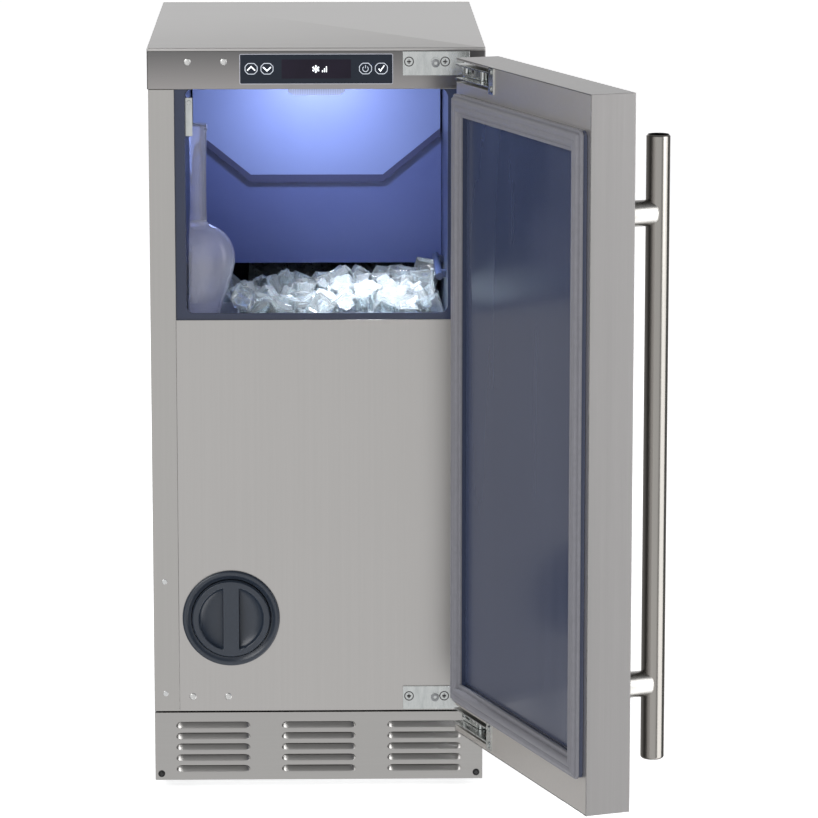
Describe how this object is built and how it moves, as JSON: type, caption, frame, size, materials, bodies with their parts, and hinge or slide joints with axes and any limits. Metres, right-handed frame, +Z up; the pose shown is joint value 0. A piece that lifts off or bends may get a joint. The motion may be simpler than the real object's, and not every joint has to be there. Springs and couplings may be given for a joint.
{
  "type": "undercounter ice maker",
  "caption": "Slim undercounter clear-ice maker: steel cabinet with an open lit bin of ice, a scoop, a hinged door with a tube handle and a louvred kick plate.",
  "frame": {"origin": "on the floor, at the middle of the cabinet's front plane", "axes": "+X to the right seen from the front, +Y from the front to the back, +Z up"},
  "size_m": [0.5599, 1.0012, 0.857],
  "materials": {
    "stainless": "brushed",
    "fascia_steel": "brushed",
    "top_steel": "brushed",
    "handle_steel": "brushed",
    "galvanised": "spangled",
    "zinc": "bright zinc",
    "fastener": "satin",
    "black_fastener": "satin",
    "navy_plastic": "satin",
    "slate_plastic": "matte",
    "black_plastic": "matte",
    "white_plastic": "gloss",
    "clear_plastic": "frosted",
    "panel_glass": "gloss",
    "display": "gloss",
    "symbols": "printed",
    "circuit_board": "lacquered",
    "foam": "matte",
    "gasket": "satin",
    "copper": "bare",
    "ice": "clear",
    "compressor_black": "satin",
    "brass_fitting": "bare"
  },
  "bodies": {
    "cabinet": {"top_panel": "top_steel", "front_fascia": "fascia_steel", "side_panel_left": "stainless", "side_panel_right": "stainless", "lower_front_panel": "stainless", "back_panel": "galvanised", "base_pan": "galvanised", "kick_plate": "stainless", "kick_screws": "black_fastener", "hole_plugs": "zinc", "stile_screws": "fastener", "control_glass": "panel_glass", "display_window": "display", "touch_symbols": "symbols", "control_board": "circuit_board", "bin_liner": "navy_plastic", "foam_shell": "foam", "bin_lamp": "white_plastic", "sensor_bracket": "fastener", "thermostat_tube": "copper", "bin_baffle": "navy_plastic", "evaporator_plate": "galvanised", "evaporator_coil": "copper", "distribution_tube": "white_plastic", "water_trough": "white_plastic", "circulation_pump": "black_plastic", "cutter_grid": "galvanised", "ice_heap": "ice", "scoop_holder": "white_plastic", "filter_housing": "white_plastic", "filter_bezel": "slate_plastic", "compressor": "compressor_black", "condenser": "galvanised", "fan_shroud": "black_plastic", "fan_motor": "galvanised", "water_valve": "brass_fitting", "drain_pump": "black_plastic", "cord_gland": "black_plastic", "hinge_plates": "zinc", "hinge_screws": "fastener"},
    "hinge_link_a": {"hinge_links_a": "zinc"},
    "hinge_link_b": {"hinge_links_b": "zinc"},
    "door": {"door_skin": "stainless", "door_inner_frame": "stainless", "door_foam": "foam", "door_liner": "navy_plastic", "door_gasket": "gasket", "door_hinge_arms": "zinc", "handle_tube": "handle_steel", "handle_posts": "handle_steel"},
    "water_filter": {"filter_cap": "slate_plastic", "filter_cartridge": "white_plastic"},
    "ice_scoop": {"scoop": "clear_plastic"},
    "curtain": {"splash_curtain": "white_plastic", "curtain_edge": "slate_plastic"},
    "fan": {"fan_blade": "white_plastic"},
    "front_left_leg": {"leg_front_left": "black_plastic"},
    "front_right_leg": {"leg_front_right": "black_plastic"},
    "rear_left_leg": {"leg_rear_left": "black_plastic"},
    "rear_right_leg": {"leg_rear_right": "black_plastic"}
  },
  "joints": [
    {"name": "door_swing", "type": "hinge", "parent": "hinge_link_b", "child": "door", "pos_m": [0.18318, -0.117, 0.4285], "axis": [0, 0, 1], "range_deg": [-155.22, 0]},
    {"name": "link_a_swing", "type": "hinge", "parent": "cabinet", "child": "hinge_link_a", "pos_m": [0.168, -0.008, 0.4285], "axis": [0, 0, 1], "range_deg": [-89.16, 0]},
    {"name": "link_b_swing", "type": "hinge", "parent": "hinge_link_a", "child": "hinge_link_b", "pos_m": [0.16703, -0.07399, 0.4285], "axis": [0, 0, 1], "range_deg": [0, 134.69]},
    {"name": "filter_twist", "type": "hinge", "parent": "cabinet", "child": "water_filter", "pos_m": [-0.1, 0, 0.2017], "axis": [0, -1, 0], "range_deg": [0, 90]},
    {"name": "scoop_lift", "type": "slide", "parent": "cabinet", "child": "ice_scoop", "axis": [0, 0, 1], "range_m": [0, 0.03]},
    {"name": "curtain_swing", "type": "hinge", "parent": "cabinet", "child": "curtain", "pos_m": [0, 0.252, 0.8], "axis": [-1, 0, 0], "range_deg": [0, 25]},
    {"name": "fan_spin", "type": "hinge", "parent": "cabinet", "child": "fan", "pos_m": [0.112, 0.152, 0.09], "axis": [0, 1, 0], "continuous": true},
    {"name": "front_left_leg_screw", "type": "slide", "parent": "cabinet", "child": "front_left_leg", "axis": [0, 0, -1], "range_m": [0, 0.015]},
    {"name": "front_right_leg_screw", "type": "slide", "parent": "cabinet", "child": "front_right_leg", "axis": [0, 0, -1], "range_m": [0, 0.015]},
    {"name": "rear_left_leg_screw", "type": "slide", "parent": "cabinet", "child": "rear_left_leg", "axis": [0, 0, -1], "range_m": [0, 0.015]},
    {"name": "rear_right_leg_screw", "type": "slide", "parent": "cabinet", "child": "rear_right_leg", "axis": [0, 0, -1], "range_m": [0, 0.015]}
  ],
  "couplings": [
    {"joint": "link_a_swing", "follows": "door_swing", "ratio": 0.57441},
    {"joint": "link_b_swing", "follows": "door_swing", "ratio": -0.86774}
  ]
}
